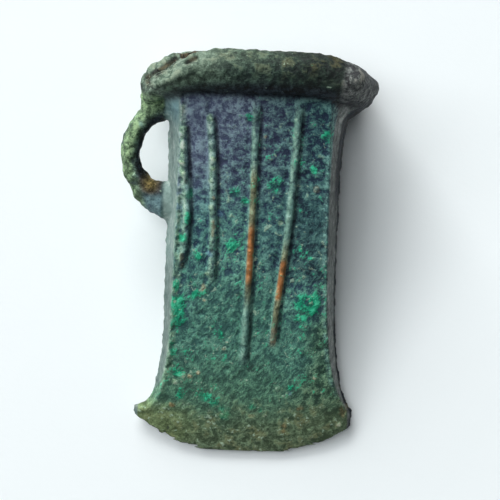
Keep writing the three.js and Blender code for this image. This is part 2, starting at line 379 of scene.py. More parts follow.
@dataclass(frozen=True)
class Tone:
    """One patina's three shades as they look in place: in hollows, on the plain skin, and on flecks.

    The light is the share of the table's light that falls where this patina lies.
    """

    deep: Colour
    mid: Colour
    pale: Colour
    light: float = 0.55

    def lit(self, light: float) -> "Tone":
        """The same look where another share of the light falls."""
        return replace(self, light=light)

    def shade(self, name: str) -> Array:
        """The surface's own colour for one of the three shades."""
        return np.clip((np.array(getattr(self, name)) - SHEEN) / self.light, 0.004, 0.85)


# the front, from the neck down to the blade
PLUM = Tone(linear(62, 70, 90), linear(88, 101, 117), linear(112, 131, 142))
SLATE = Tone(linear(44, 50, 68), linear(63, 81, 91), linear(88, 116, 118))
TEAL = Tone(linear(34, 46, 60), linear(52, 82, 84), linear(82, 118, 114))
BRINE = Tone(linear(36, 54, 68), linear(58, 95, 97), linear(86, 128, 126))
JADE = Tone(linear(42, 58, 74), linear(67, 106, 101), linear(98, 148, 132))
MURK = Tone(linear(32, 46, 52), linear(48, 74, 76), linear(70, 102, 98))
FOREST = Tone(linear(46, 76, 72), linear(62, 100, 90), linear(86, 130, 114))
BOG = Tone(linear(32, 47, 40), linear(53, 77, 61), linear(92, 118, 94))
MOSS = Tone(linear(50, 76, 66), linear(64, 98, 82), linear(86, 124, 102))
OCHRE = Tone(linear(68, 80, 54), linear(88, 102, 70), linear(110, 128, 92))
OLIVE = Tone(linear(52, 64, 48), linear(71, 85, 65), linear(94, 114, 90))
# the collar, from the loop's side across
SAGE = Tone(linear(92, 114, 98), linear(130, 152, 132), linear(168, 190, 172))
FERN = Tone(linear(52, 66, 56), linear(78, 98, 82), linear(112, 140, 120))
NIGHT = Tone(linear(30, 40, 38), linear(42, 56, 50), linear(56, 74, 64))
# the sides, the hollows and the ribs
CHALK = Tone(linear(104, 130, 126), linear(136, 160, 154), linear(176, 194, 188))
GREY = Tone(linear(56, 64, 64), linear(86, 92, 92), linear(112, 120, 118))
# painted shade: the near black laid where shadow falls, under the collar, beside the ribs, inside the loop
# and along the right side
PAINTED_SHADE = Tone(linear(16, 18, 24), linear(28, 32, 38), linear(42, 48, 54))
# painted shade for the splits in the lip
PAINTED_SPLIT_SHADE = Tone(linear(20, 16, 14), linear(34, 29, 26), linear(56, 50, 42))
LICHEN = Tone(linear(66, 84, 64), linear(102, 127, 96), linear(146, 174, 132))
EARTH = Tone(linear(26, 22, 18), linear(58, 50, 40), linear(96, 88, 70))
FROST = Tone(linear(82, 106, 114), linear(104, 134, 139), linear(128, 158, 160))
UMBER = Tone(linear(54, 48, 30), linear(90, 80, 48), linear(126, 110, 74))
STONE = Tone(linear(48, 49, 50), linear(80, 85, 83), linear(116, 118, 116))
RIB_SKIN = Tone(linear(60, 80, 82), linear(90, 124, 117), linear(118, 156, 146))
LIME = Tone(linear(96, 118, 102), linear(140, 164, 144), linear(176, 198, 178))
RIB_WORN = Tone(linear(62, 66, 54), linear(100, 104, 82), linear(140, 146, 118))
COPPER = Tone(linear(112, 88, 62), linear(152, 102, 64), linear(170, 138, 104))
TINTS = {
    Tint.EMERALD: Tone(linear(12, 88, 68), linear(22, 126, 94), linear(50, 164, 126)),
    Tint.PALE: Tone(linear(84, 112, 92), linear(134, 166, 134), linear(176, 204, 168)),
    Tint.BUFF: Tone(linear(110, 108, 82), linear(166, 160, 128), linear(200, 196, 166)),
    Tint.RUST: Tone(linear(58, 44, 28), linear(100, 74, 44), linear(130, 104, 68)),
    Tint.BLUE: Tone(linear(42, 56, 84), linear(66, 90, 124), linear(100, 134, 152)),
    Tint.BLACK: Tone(linear(14, 16, 22), linear(26, 28, 36), linear(46, 52, 60)),
}


@dataclass(frozen=True)
class Field:
    """A patch of one patina: the middle of its place on the axe and how far it reaches, in mm."""

    tone: Tone
    x: float
    y: float
    reach_x: float
    reach_y: float

    def weight(self, x: Array, y: Array) -> Array:
        """How much of each place is this field's, before all fields are set against each other."""
        return np.exp(-(((x - self.x) / self.reach_x) ** 2) - ((y - self.y) / self.reach_y) ** 2) + 1e-9


FRONT = (
    Field(PLUM, -12.0, 72.0, 7.0, 12.0),
    Field(PLUM, -5.0, 76.0, 5.0, 7.0),
    Field(SLATE, -4.0, 66.0, 4.5, 7.0),
    Field(SLATE, 4.5, 72.0, 4.5, 10.0),
    Field(TEAL, 13.0, 70.0, 6.0, 12.0),
    Field(TEAL.lit(0.42), 17.5, 71.0, 2.5, 8.0),
    Field(JADE, -5.0, 50.0, 7.0, 9.0),
    Field(BRINE, -12.0, 52.0, 3.5, 8.0),
    Field(TEAL, 4.0, 54.0, 4.0, 10.0),
    Field(MURK, 13.5, 52.0, 6.0, 9.0),
    Field(JADE, 12.0, 36.0, 5.0, 4.0),
    Field(FOREST, -10.0, 30.0, 9.0, 10.0),
    Field(JADE, -14.5, 36.0, 3.0, 5.0),
    Field(FOREST, 3.0, 30.0, 4.5, 9.0),
    Field(FOREST, 11.5, 25.0, 5.0, 8.0),
    Field(BOG, 16.5, 27.0, 3.2, 9.0),
    Field(MOSS, 0.0, 15.0, 12.0, 7.0),
    Field(BOG, 15.5, 16.0, 4.5, 4.5),
    Field(MOSS, -16.0, 15.0, 5.0, 5.0),
    Field(OCHRE, -19.0, 6.0, 7.0, 4.2),
    Field(OLIVE, -2.0, 3.0, 9.0, 7.0),
    Field(OLIVE, 13.0, 5.5, 10.0, 6.5),
)
COLLAR = (
    Field(SAGE.lit(1.25), -15.0, 89.0, 7.5, 3.0),
    Field(FERN.lit(0.95), -13.0, 84.5, 6.0, 2.5),
    Field(FERN.lit(1.35), -2.0, 89.5, 9.0, 2.2),
    # painted shade on the collar's lower slope, which faces away from the light
    Field(NIGHT.lit(0.6), -1.0, 85.5, 12.0, 2.0),
    Field(NIGHT.lit(2.0), 14.0, 88.0, 8.0, 4.0),
    # painted shade in the band under the collar
    Field(PAINTED_SHADE.lit(0.4), 0.0, 82.0, 16.0, 1.8),
)


# ---------------------------------------------------------------- shader expressions


class Wire:
    """A value in a shader, with arithmetic that adds the Math nodes it needs."""

    def __init__(self, shader: "Shader", socket: bpy.types.NodeSocket) -> None:
        """Wraps an output socket of a shader."""
        self.shader = shader
        self.socket = socket

    def _math(self, operation: str, *values: "Wire | float") -> "Wire":
        """Adds one Math node."""
        return self.shader.node("ShaderNodeMath", {"operation": operation}, dict(enumerate(values)))

    def __add__(self, other: "Wire | float") -> "Wire":
        """Adds."""
        return self._math("ADD", self, other)

    def __radd__(self, other: float) -> "Wire":
        """Adds to a number."""
        return self._math("ADD", other, self)

    def __sub__(self, other: "Wire | float") -> "Wire":
        """Subtracts."""
        return self._math("SUBTRACT", self, other)

    def __rsub__(self, other: float) -> "Wire":
        """Subtracts from a number."""
        return self._math("SUBTRACT", other, self)

    def __mul__(self, other: "Wire | float") -> "Wire":
        """Multiplies."""
        return self._math("MULTIPLY", self, other)

    def __rmul__(self, other: float) -> "Wire":
        """Multiplies a number."""
        return self._math("MULTIPLY", other, self)

    def step(self, low: float, high: float) -> "Wire":
        """Runs smoothly from 0 at low to 1 at high."""
        inputs = {"Value": self, "From Min": low, "From Max": high, "To Min": 0.0, "To Max": 1.0}
        return self.shader.node("ShaderNodeMapRange", {"interpolation_type": "SMOOTHSTEP"}, inputs)


class Shader:
    """Builds one material's nodes."""

    def __init__(self, name: str) -> None:
        """Starts a material with an empty node tree."""
        self.material = bpy.data.materials.new(name)
        self.material.use_nodes = True
        self.tree = self.material.node_tree
        self.tree.nodes.clear()

    def node(
        self,
        kind: str,
        settings: dict[str, Any] | None = None,
        inputs: dict[int | str, Any] | None = None,
        output: int | str = 0,
    ) -> Wire:
        """Adds a node.

        Args:
            kind: the node's type.
            settings: its properties, set before anything is linked.
            inputs: the value or wire of each socket, by name or place.
            output: which socket is read.

        Returns:
            The chosen output.
        """
        made = self.tree.nodes.new(kind)
        for name, value in (settings or {}).items():
            setattr(made, name, value)
        for key, value in (inputs or {}).items():
            if isinstance(value, Wire):
                self.tree.links.new(value.socket, made.inputs[key])
            else:
                made.inputs[key].default_value = value
        return Wire(self, made.outputs[output])

    def mix(
        self, factor: Wire | float, first: Wire | Sequence[float], second: Wire | Sequence[float]
    ) -> Wire:
        """Mixes two colours."""
        colours = [c if isinstance(c, Wire) else (*c, 1.0) for c in (first, second)]
        inputs = {0: factor, 6: colours[0], 7: colours[1]}
        return self.node("ShaderNodeMix", {"data_type": "RGBA"}, inputs, output=2)

    def blend(self, factor: Wire, first: Wire, second: Wire) -> Wire:
        """Goes from the first value to the second."""
        return first + factor * (second - first)

    def noise(self, place: Wire, wavelength: float, detail: float = 2.0, roughness: float = 0.5) -> Wire:
        """Noise from 0 to 1 with lumps of a given size."""
        inputs = {"Vector": place, "Scale": 1.0 / wavelength, "Detail": detail, "Roughness": roughness}
        return self.node("ShaderNodeTexNoise", {"noise_dimensions": "3D"}, inputs)

    def stored(self, name: str, output: str = "Fac") -> Wire:
        """Reads a value that the mesh carries."""
        settings = {"attribute_type": "GEOMETRY", "attribute_name": name}
        return self.node("ShaderNodeAttribute", settings, output=output)

    def finish(self, **inputs: Wire | float | Sequence[float]) -> bpy.types.Material:
        """Closes the material with a Principled shader.

        Args:
            inputs: the shader's sockets, with _ for a space.

        Returns:
            The finished material.
        """
        named = {key.replace("_", " "): value for key, value in inputs.items()}
        surface = self.node("ShaderNodeBsdfPrincipled", inputs=named)
        self.node_output(surface)
        return self.material

    def node_output(self, surface: Wire) -> None:
        """Links the surface to the material's output."""
        out = self.tree.nodes.new("ShaderNodeOutputMaterial")
        self.tree.links.new(surface.socket, out.inputs["Surface"])


# ---------------------------------------------------------------- finishes


@dataclass(frozen=True)
class Patina:
    """Grainy green and black corrosion over bronze: sizes in mm, and how rough and glossy it is."""

    grain: float = 1.5
    ridge: float = 1.25
    ridge_stretch: float = 1.5
    ridge_slant: float = 62.0
    grit: float = 0.36
    fleck: float = 0.9
    relief: float = 1.1
    roughness: float = 0.6
    gloss: float = 0.22

    def material(self) -> bpy.types.Material:
        """Makes the patina's material.

        Returns:
            The material, which reads the shades that the mesh carries.
        """
        shader = Shader("patinated_bronze")
        metres = shader.node("ShaderNodeTexCoord", output="Object")
        place = shader.node("ShaderNodeVectorMath", {"operation": "SCALE"}, {0: metres, "Scale": 1 / MM})
        along = shader.node(
            "ShaderNodeMapping",
            {"vector_type": "TEXTURE"},
            {
                "Vector": place,
                "Rotation": (0.0, 0.0, math.radians(self.ridge_slant)),
                "Scale": (self.ridge_stretch, 1.0, 1.0),
            },
        )
        ridged = shader.stored("ridged")
        calm = shader.stored("calm")
        busy = 1.0 - 0.6 * calm
        lumps = shader.blend(
            ridged, shader.noise(place, self.grain, 4.0, 0.78), shader.noise(along, self.ridge, 4.0, 0.78)
        )
        grit = shader.noise(place, self.grit, 1.0)
        cloud = shader.noise(place, 3.0, 2.0)
        fine = ((lumps - 0.5) * 4.9 + (grit - 0.5) * 0.8) * busy
        level = 0.5 + fine + (cloud - 0.5) * 0.9 + (shader.stored("rise") - 0.5) * 0.6
        deep = shader.stored("deep", "Color")
        mid = shader.stored("mid", "Color")
        pale = shader.stored("pale", "Color")
        skin = shader.mix(level.step(0.05, 0.5), deep, mid)
        skin = shader.mix(level.step(0.5, 1.0), skin, pale)
        earthy = (cloud + (lumps - 0.5) * 0.8).step(0.5, 0.72) * shader.stored("earthy")
        skin = shader.mix(earthy * 0.4, skin, UMBER.shade("mid"))
        bloom = (shader.stored("green") + (lumps - 0.5) * 3.0 + (grit - 0.5) * 0.5).step(0.5, 0.85)
        crust = TINTS[Tint.EMERALD]
        crust_colour = shader.mix(level.step(0.45, 1.2), crust.shade("mid"), crust.shade("pale"))
        skin = shader.mix(bloom * 0.8, skin, crust_colour)
        sparse = shader.noise(place, self.fleck, 2.0) + (cloud - 0.5) * 0.5 + shader.stored("limy") * 0.12
        flecks = sparse.step(0.72, 0.84)
        skin = shader.mix(flecks * 0.55, skin, LIME.shade("mid"))
        height = lumps * 0.8 + bloom * 0.08 + grit * 0.08 + flecks * 0.08
        bump = shader.node(
            "ShaderNodeBump",
            inputs={"Strength": 1.0, "Distance": self.relief * MM, "Height": height * (1.0 - 0.65 * calm)},
        )
        rough = self.roughness + (cloud - 0.5) * 0.3 - shader.stored("bare") * 0.15
        return shader.finish(
            Base_Color=skin,
            Metallic=shader.stored("bare") * 0.4,
            Roughness=rough,
            Specular_IOR_Level=self.gloss,
            Normal=bump,
        )


@dataclass(frozen=True)
class TableTop:
    """A plain pale table under the axe: half its width in metres and its colour."""

    half: float = 1.2
    colour: Colour = linear(238, 245, 247)

    def build(self) -> bpy.types.Object:
        """Makes the table top and its finish.

        Returns:
            The table top.
        """
        mesh = bpy.data.meshes.new("table_top")
        corners = [(-1, -1), (1, -1), (1, 1), (-1, 1)]
        mesh.from_pydata([(x * self.half, y * self.half, 0.0) for x, y in corners], [], [(0, 1, 2, 3)])
        top = bpy.data.objects.new("table_top", mesh)
        bpy.context.scene.collection.objects.link(top)
        shader = Shader("pale_card")
        metres = shader.node("ShaderNodeTexCoord", output="Object")
        tooth = shader.noise(metres, 0.0011, 3.0, 0.6)
        waves = shader.noise(metres, 0.012, 2.0)
        bump = shader.node(
            "ShaderNodeBump", inputs={"Strength": 0.25, "Distance": 0.0002, "Height": tooth * 0.5 + waves}
        )
        mesh.materials.append(shader.finish(Base_Color=(*self.colour, 1.0), Roughness=0.9, Normal=bump))
        return top


# ---------------------------------------------------------------- the axe head


@dataclass
class AxeHead:
    """The dressed axe head: sizes in mm."""

    axes: AxeAxes
    form: AxeForm = field(default_factory=AxeForm)
    ribs: tuple[Rib, ...] = RIBS
    growths: tuple[Growth, ...] = GROWTHS
    finish: Patina = field(default_factory=Patina)
    voxel: float = 0.31
    most_triangles: int = 188000
    seed: int = 11

    def build(self, casting: bpy.types.Object) -> bpy.types.Object:
        """Makes the dressed axe head.

        Args:
            casting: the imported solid.

        Returns:
            The finished piece.
        """
        piece = self._fine_skin(casting)
        self._sculpt(piece)
        piece = self._thin_out(piece)
        self._keep_inside(piece)
        self._paint(piece)
        piece.data.materials.clear()
        piece.data.materials.append(self.finish.material())
        return piece

    # ------------------------------------------------------------ the mesh

    def _with(self, piece: bpy.types.Object, kind: str, **settings: Any) -> bpy.types.Object:
        """Applies one modifier.

        Args:
            piece: the object that is changed.
            kind: the modifier's type.
            settings: its properties.

        Returns:
            The same object, with a new mesh.
        """
        modifier = piece.modifiers.new(kind.lower(), kind)
        for name, value in settings.items():
            setattr(modifier, name, value)
        graph = bpy.context.evaluated_depsgraph_get()
        made = bpy.data.meshes.new_from_object(piece.evaluated_get(graph), depsgraph=graph)
        old = piece.data
        piece.modifiers.clear()
        piece.data = made
        bpy.data.meshes.remove(old)
        return piece

    def _fine_skin(self, casting: bpy.types.Object) -> bpy.types.Object:
        """Copies the casting as one fine, even skin with its facets smoothed away."""
        piece = bpy.data.objects.new("axe_head_bronze", casting.data.copy())
        bpy.context.scene.collection.objects.link(piece)
        self._with(piece, "REMESH", mode="VOXEL", voxel_size=self.voxel * MM, adaptivity=0.0)
        self._with(piece, "SMOOTH", factor=0.5, iterations=3)
        log.info("fine skin: %d points", len(piece.data.vertices))
        return piece

    def _thin_out(self, piece: bpy.types.Object) -> bpy.types.Object:
        """Spends fewer triangles inside the socket and on the back."""
        places, normals = self._read(piece)
        spare = 0.15 + 0.85 * np.maximum(self._socket(places, normals), smooth(0.0, -0.5, normals[:, 2]))
        group = piece.vertex_groups.new(name="spare")
        for level in range(11):
            chosen = np.nonzero(np.rint(spare * 10) == level)[0]
            if len(chosen) and level:
                group.add(chosen.tolist(), level / 10, "REPLACE")
        triangles = sum(len(face.vertices) - 2 for face in piece.data.polygons)
        share = min(1.0, self.most_triangles / triangles)
        self._with(piece, "DECIMATE", ratio=share, vertex_group="spare", vertex_group_factor=4.0)
        piece.vertex_groups.clear()
        piece.data.polygons.foreach_set("use_smooth", np.ones(len(piece.data.polygons), bool))
        log.info("thinned skin: %d triangles of %d", len(piece.data.polygons), triangles)
        return piece

    def _read(self, piece: bpy.types.Object) -> tuple[Array, Array]:
        """Every point's place on the axe, in mm, and its outward direction in the axe's axes."""
        count = len(piece.data.vertices)
        points = np.empty(count * 3, np.float32)
        normals = np.empty(count * 3, np.float32)
        piece.data.vertices.foreach_get("co", points)
        piece.data.vertex_normals.foreach_get("vector", normals)
        places = self.axes.own(points.reshape(-1, 3).astype(float))
        return places, self.axes.own_direction(normals.reshape(-1, 3).astype(float))

    def _write(self, piece: bpy.types.Object, places: Array) -> None:
        """Moves the points."""
        piece.data.vertices.foreach_set("co", self.axes.placed(places).astype(np.float32).ravel())
        piece.data.update()

    def _keep_inside(self, piece: bpy.types.Object) -> None:
        """Keeps the points within the casting's own box."""
        points = np.empty(len(piece.data.vertices) * 3, np.float32)
        piece.data.vertices.foreach_get("co", points)
        points = points.reshape(-1, 3)
        points = np.clip(points, np.array(CAD_BOX[0]) + 1e-6, np.array(CAD_BOX[1]) - 1e-6)
        piece.data.vertices.foreach_set("co", points.astype(np.float32).ravel())
        piece.data.update()

    # ------------------------------------------------------------ where things are

    def _socket(self, places: Array, normals: Array) -> Array:
        """1 on the socket's walls, 0 outside."""
        x, y, z = places.T
        inward = smooth(0.2, -0.2, (normals[:, 0] * x + normals[:, 2] * z) / (np.hypot(x, z) + 0.1))
        return inward * (np.abs(z) < self.form.thick(y) - 1.2) * (np.abs(x) < 18.0)

    def _loop(self, places: Array) -> Array:
        """1 on the side loop, 0 on the body."""
        x, y, _ = places.T
        return smooth(19.0, 20.0, -x) * smooth(50.0, 53.0, y) * smooth(81.5, 79.5, y)

    def _facet(self, places: Array) -> Array:
        """1 on the sloping sides, 0 on the two faces."""
        x, y, z = places.T
        edge = self.form.long_edge(x, y)
        return smooth(-0.1, 0.5, np.abs(x) - edge) * smooth(83.5, 79.5, self.form.collar_y(x, y, z))

    def _ridged(self, y: Array) -> Array:
        """1 where the skin runs in slanted ridges, on the lower body, and 0 where its lumps are round."""
        return smooth(66, 44, y) * smooth(2, 14, y)

    def _pits(self, places: Array) -> Array:
        """1 in the skin's scattered pits, 0 between them."""
        return smooth(0.35, 0.8, Grain(self.seed).at(places + 40.0, 1.9, 1))

    def _lumps(self, places: Array) -> Array:
        """The skin's lumps, about -1 to 1: round near the mouth, long slanted ridges towards the edge."""
        grain = Grain(self.seed)
        slant = math.radians(self.finish.ridge_slant)
        x, y, z = places.T
        run = (x * math.cos(slant) + y * math.sin(slant)) / self.finish.ridge_stretch
        turned = np.stack([run, y * math.cos(slant) - x * math.sin(slant), z], axis=1)
        share = self._ridged(y)
        return (1 - share) * grain.at(places, 2.0, 3) + share * grain.at(turned, 1.9, 3)

    # ------------------------------------------------------------ relief

    def _sculpt(self, piece: bpy.types.Object) -> None:
        """Works the corrosion and wear into the skin as real relief."""
        places, normals = self._read(piece)
        push = self._skin_relief(places, normals) + self._collar_relief(places, normals)
        push += self._rib_relief(places, normals) + self._growth_relief(places, normals)
        moved = places + normals * push[:, None]
        moved[:, 1] += self._edge_nicks(places)
        self._write(piece, moved)

    def _skin_relief(self, places: Array, normals: Array) -> Array:
        """The pitted skin of the whole casting, calmer on its sides."""
        grain = Grain(self.seed)
        facet = self._facet(places)
        loop = self._loop(places)
        rough = 0.2 * self._lumps(places) + 0.12 * grain.at(places, 6.5, 1)
        rough -= 0.16 * self._pits(places)
        x, y, z = places.T
        strength = 1.0 - 0.55 * facet + 0.9 * loop
        strength = strength - 0.8 * smooth(3.5, 1.0, self.form.edge_distance(x, y))
        lumps = 0.75 * loop * np.maximum(0, grain.at(places + 90.0, 2.8, 2))
        seam = bell(z, 1.8) * (np.abs(x) > self.form.seam(x, y) - 1.5) * (1 - loop)
        notch = 2.2 * bell(np.hypot(x + 22.6, y - 79.4), 2.1)
        seam_crust = (0.25 + 0.1 * (x < 0)) * seam * grain.at(places + 7.0, 1.9, 2)
        return rough * strength + lumps + notch + seam_crust

    def _collar_relief(self, places: Array, normals: Array) -> Array:
        """The crusty collar and the crumbled lip at the loop side."""
        grain = Grain(self.seed + 1)
        x, y, z = places.T
        collar = smooth(80.5, 83.5, self.form.collar_y(x, y, z)) * (1 - self._socket(places, normals))
        crust = 0.3 * grain.at(places * (1.0, 1.25, 1.0), 4.2, 2) + 0.16 * grain.at(places + 30.0, 1.6, 2)
        ragged = smooth(-14.0, -19.0, x) * smooth(82.0, 85.5, self.form.collar_y(x, y, z))
        crumbs = 1.0 * grain.at(places + 60.0, 2.2, 2) - 0.1
        worn_top = smooth(87.0, 90.0, self.form.collar_y(x, y, z))
        push = collar * (crust + ragged * crumbs) + 0.35 * worn_top * grain.at(places + 15.0, 2.2, 2)
        front = smooth(0.0, 0.3, normals[:, 2]) * (z > 0)
        for split in CREVICES:
            push -= split.depth * split.near(x, y) * front
        return push + 0.5 * bell(LIP_RIDGE.near(x, y) - 1.0, 0.5) * front

    def _rib_relief(self, places: Array, normals: Array) -> Array:
        """Knots along the ribs, and the narrow hollow at each rib's right foot."""
        grain = Grain(self.seed + 2)
        x, y, z = places.T
        front = smooth(0.1, 0.6, normals[:, 2]) * (z > 0) * (1 - self._socket(places, normals))
        knots = grain.at(places * (0.3, 1.0, 0.3), 2.6, 2)
        push = np.zeros(len(places))
        for rib in self.ribs:
            off = rib.off(x, y)
            alive = rib.alive(y) * front
            push += rib.knots * knots * bell(off, 1.0) * alive
            push += 0.22 * bell(off, 0.5) * alive
            push -= 0.35 * bell(off - 1.2, 0.35) * alive
            push -= 0.2 * bell(off + 1.3, 0.4) * alive
            top = rib.path[0][1]
            push -= 0.5 * bell(off, 0.8) * smooth(top - 3.0, top, y) * (y < 82.0) * front
        edge = x + self.form.long_edge(x, y)
        body = smooth(12, 20, y) * smooth(82, 78, y)
        ragged = bell(edge - 0.4, 0.9) * (x < 0) * body * front
        push += 0.35 * ragged * grain.at(places * (0.5, 1.0, 0.5) + 5.0, 2.1, 2)
        right = bell(x - self.form.long_edge(x, y) + 0.4, 0.7) * (x > 0) * body
        push += 0.15 * right * front * grain.at(places + 25.0, 2.4, 2)
        return push

    def _growth_relief(self, places: Array, normals: Array) -> Array:
        """The single lumps and hollows on the front."""
        x, y, z = places.T
        front = smooth(0.0, 0.4, normals[:, 2]) * (z > 0) * (1 - self._socket(places, normals))
        push = np.zeros(len(places))
        for growth in self.growths:
            if growth.height:
                push += growth.height * self._near(growth, x, y)
        return push * front

    def _near(self, growth: Growth, x: Array, y: Array) -> Array:
        """How near each point is to one growth, from 0 to 1."""
        return bell(np.hypot(x - growth.x, (y - growth.y) / growth.stretch), growth.reach)

    def _edge_nicks(self, places: Array) -> Array:
        """How far each point near the cutting edge is drawn back by wear and nicks."""
        grain = Grain(self.seed + 3)
        x, y, _ = places.T
        across = np.stack([x, np.zeros_like(x), np.zeros_like(x)], axis=1)
        wave = 0.14 * grain.at(across, 4.5, 2)
        notch = 0.6 * bell(x + 17.4, 0.6) + 0.3 * bell(x - 2.8, 1.2) + 0.25 * bell(x - 14.5, 1.6) - 0.55
        return (wave + notch) * bell(self.form.edge_distance(x, y), 3.0)

    # ------------------------------------------------------------ colour

    def _paint(self, piece: bpy.types.Object) -> None:
        """Gives every point its patina's three shades, its relief and its calmness."""
        places, normals = self._read(piece)
        shades = self._shades(places, normals)
        for name, values in shades.items():
            if values.ndim == 2:
                layer = piece.data.attributes.new(name, "FLOAT_COLOR", "POINT")
                rgba = np.concatenate([values, np.ones((len(values), 1))], axis=1)
                layer.data.foreach_set("color", rgba.astype(np.float32).ravel())
            else:
                layer = piece.data.attributes.new(name, "FLOAT", "POINT")
                layer.data.foreach_set("value", values.astype(np.float32))

    def _spread(self, fields: Sequence[Field], x: Array, y: Array) -> dict[str, Array]:
        """Melts fields of patina into one another.

        Args:
            fields: the fields.
            x: places across the axe.
            y: places along it.

        Returns:
            The three shades at each point, by name.
        """
        weights = np.stack([f.weight(x, y) for f in fields])
        weights /= weights.sum(axis=0)
        tones = [f.tone for f in fields]
        return {n: weights.T @ np.array([t.shade(n) for t in tones]) for n in ("deep", "mid", "pale")}

    def _zones(self, places: Array, normals: Array) -> Iterable[tuple[Tone, Array]]:
        """Every patina off the plain front, and the painted shade, and where each lies, each laid over the
        one before.

        Args:
            places: the points, in mm.
            normals: their outward directions.

        Yields:
            A patina's shades, and its cover at each point.
        """
        grain = Grain(self.seed + 4)
        x, y, z = places.T
        collar_y = self.form.collar_y(x, y, z)
        patch = grain.at(places + 50.0, 3.0, 3)
        socket = self._socket(places, normals)
        facet = self._facet(places)
        loop = self._loop(places)
        front = smooth(-0.1, 0.4, normals[:, 2])
        yield EARTH, 0.35 * smooth(83.0, 87.0, collar_y) * smooth(0.2, 0.8, patch)
        yield GREY, (1 - front) * 0.6 * smooth(83.0, 79.0, collar_y)
        yield CHALK.lit(1.1), facet * (x < 0) * (1 - loop)
        yield CHALK.lit(1.75), facet * (x < 0) * smooth(47.0, 40.0, y)
        yield FROST, facet * bell(np.hypot(x + 16.9, (y - 78.6) / 1.6), 2.4)
        end = smooth(16.6, 18.2, x - 0.2 * (collar_y - 82.0)) * smooth(78.0, 80.0, y)
        yield STONE.lit(0.55), np.maximum(facet * (x > 0), end * (1 - socket))
        pale_ends = np.maximum(smooth(49.0, 42.0, y), smooth(70.0, 74.0, y))
        yield STONE.lit(0.38), facet * (x > 0) * pale_ends
        # painted shade where the right side turns under: its lower part, its seam, and the underside of the
        # collar's right end
        seam = smooth(1.4, 0.4, np.abs(z))
        black = facet * np.maximum(smooth(5.0, 3.2, z) * smooth(54.0, 62.0, y), seam)
        yield PAINTED_SHADE, np.maximum(black, end * smooth(0.5, 0.1, normals[:, 2])) * (x > 0)
        hole = np.hypot((x + 19.5) / 5.6, (y - 66.0) / 9.0)
        yield FERN.lit(1.0), loop
        yield LICHEN.lit(0.82), loop * smooth(1.1, 1.35, hole + 0.15 * patch)
        yield FROST.lit(0.9), loop * smooth(61.5, 58.5, y) * smooth(-24.5, -22.5, x)
        yield SLATE, loop * smooth(0.2, 0.7, grain.at(places + 33.0, 3.2, 2))
        # painted shade on the inner half of the loop, which faces away from the light
        yield PAINTED_SHADE, loop * smooth(1.2, 1.0, hole + 0.1 * patch) * smooth(57.0, 59.0, y)
        yield UMBER, loop * bell(np.hypot(x + 22.3, y - 60.6), 1.6)
        yield from self._rib_zones(places, front * (1 - socket))
        yield from self._spot_zones(places, normals, grain)
        yield EARTH, socket

    def _rib_zones(self, places: Array, front: Array) -> Iterable[tuple[Tone, Array]]:
        """The ribs' lighter skin, their worn stretches, bare copper, and painted shade in the hollows at
        their right feet.
        """
        grain = Grain(self.seed + 5)
        x, y, z = places.T
        upright = front * (z > 0)
        ragged = 0.6 + 0.4 * grain.at(places, 1.6, 2)
        for rib in self.ribs:
            off = rib.off(x, y)
            alive = rib.alive(y) * upright
            # painted shade in the hollow at each rib's right foot, stronger on the crusted ribs
            yield PAINTED_SHADE, (0.45 + 0.4 * rib.crust) * bell(off - 1.2, 0.4) * alive
            yield RIB_SKIN, 0.9 * smooth(1.05, 0.6, np.abs(off)) * alive * (1 - (1 - ragged) * rib.crust)
            yield TINTS[Tint.PALE], 0.6 * rib.crust * bell(off + 0.3, 0.45) * alive * ragged
        third, fourth = self.ribs[2], self.ribs[3]
        core = smooth(0.85, 0.45, np.abs(third.off(x, y) - 0.1)) * upright
        yield RIB_WORN, core * smooth(68.0, 63.0, y) * smooth(33.0, 40.0, y)
        yield COPPER, core * smooth(54.5, 51.5, y) * smooth(39.0, 42.0, y)
        core = smooth(0.85, 0.45, np.abs(fourth.off(x, y) - 0.1)) * upright
        yield RIB_WORN, core * smooth(52.0, 46.0, y) * smooth(27.0, 33.0, y)
        yield COPPER, core * smooth(46.3, 45.0, y) * smooth(36.3, 37.8, y)
        yield COPPER, 0.5 * core * smooth(31.0, 29.5, y) * smooth(25.0, 27.0, y) * ragged

    def _spot_zones(self, places: Array, normals: Array, grain: Grain) -> Iterable[tuple[Tone, Array]]:
        """The pale left long edge, a painted highlight along the right long edge, painted shade under the
        collar, the single growths, and painted shade in the lip's splits.
        """
        x, y, z = places.T
        front = smooth(0.0, 0.4, normals[:, 2]) * (z > 0)
        edge = self.form.long_edge(x, y)
        ragged = smooth(-0.5, 0.3, grain.at(places + 70.0, 1.5, 2))
        rim = smooth(12, 18, y) * smooth(82, 78, y) * front
        yield TINTS[Tint.PALE], 0.5 * bell(x + edge - 0.4, 0.8) * (x < 0) * rim * ragged
        # painted highlight along the right long edge
        yield RIB_SKIN, 0.6 * bell(x - edge + 0.5, 0.5) * (x > 0) * rim * ragged
        collar_y = self.form.collar_y(x, y, z)
        # painted shade in the band under the collar
        under = smooth(79.5, 81.8, collar_y) * smooth(84.4, 83.0, collar_y)
        yield PAINTED_SHADE, 0.6 * under * (1 - self._loop(places))
        for growth in self.growths:
            near = self._near(growth, x, y) * (0.65 + 0.6 * grain.at(places + 20.0, 1.1, 1))
            cover = 0.55 if growth.tint is Tint.EMERALD else 0.8
            yield TINTS[growth.tint], cover * growth.strength * smooth(0.2, 0.62, near) * front
        # painted shade in the lip's splits
        for split in CREVICES:
            yield PAINTED_SPLIT_SHADE.lit(1.0), 0.9 * split.near(x, y) * front

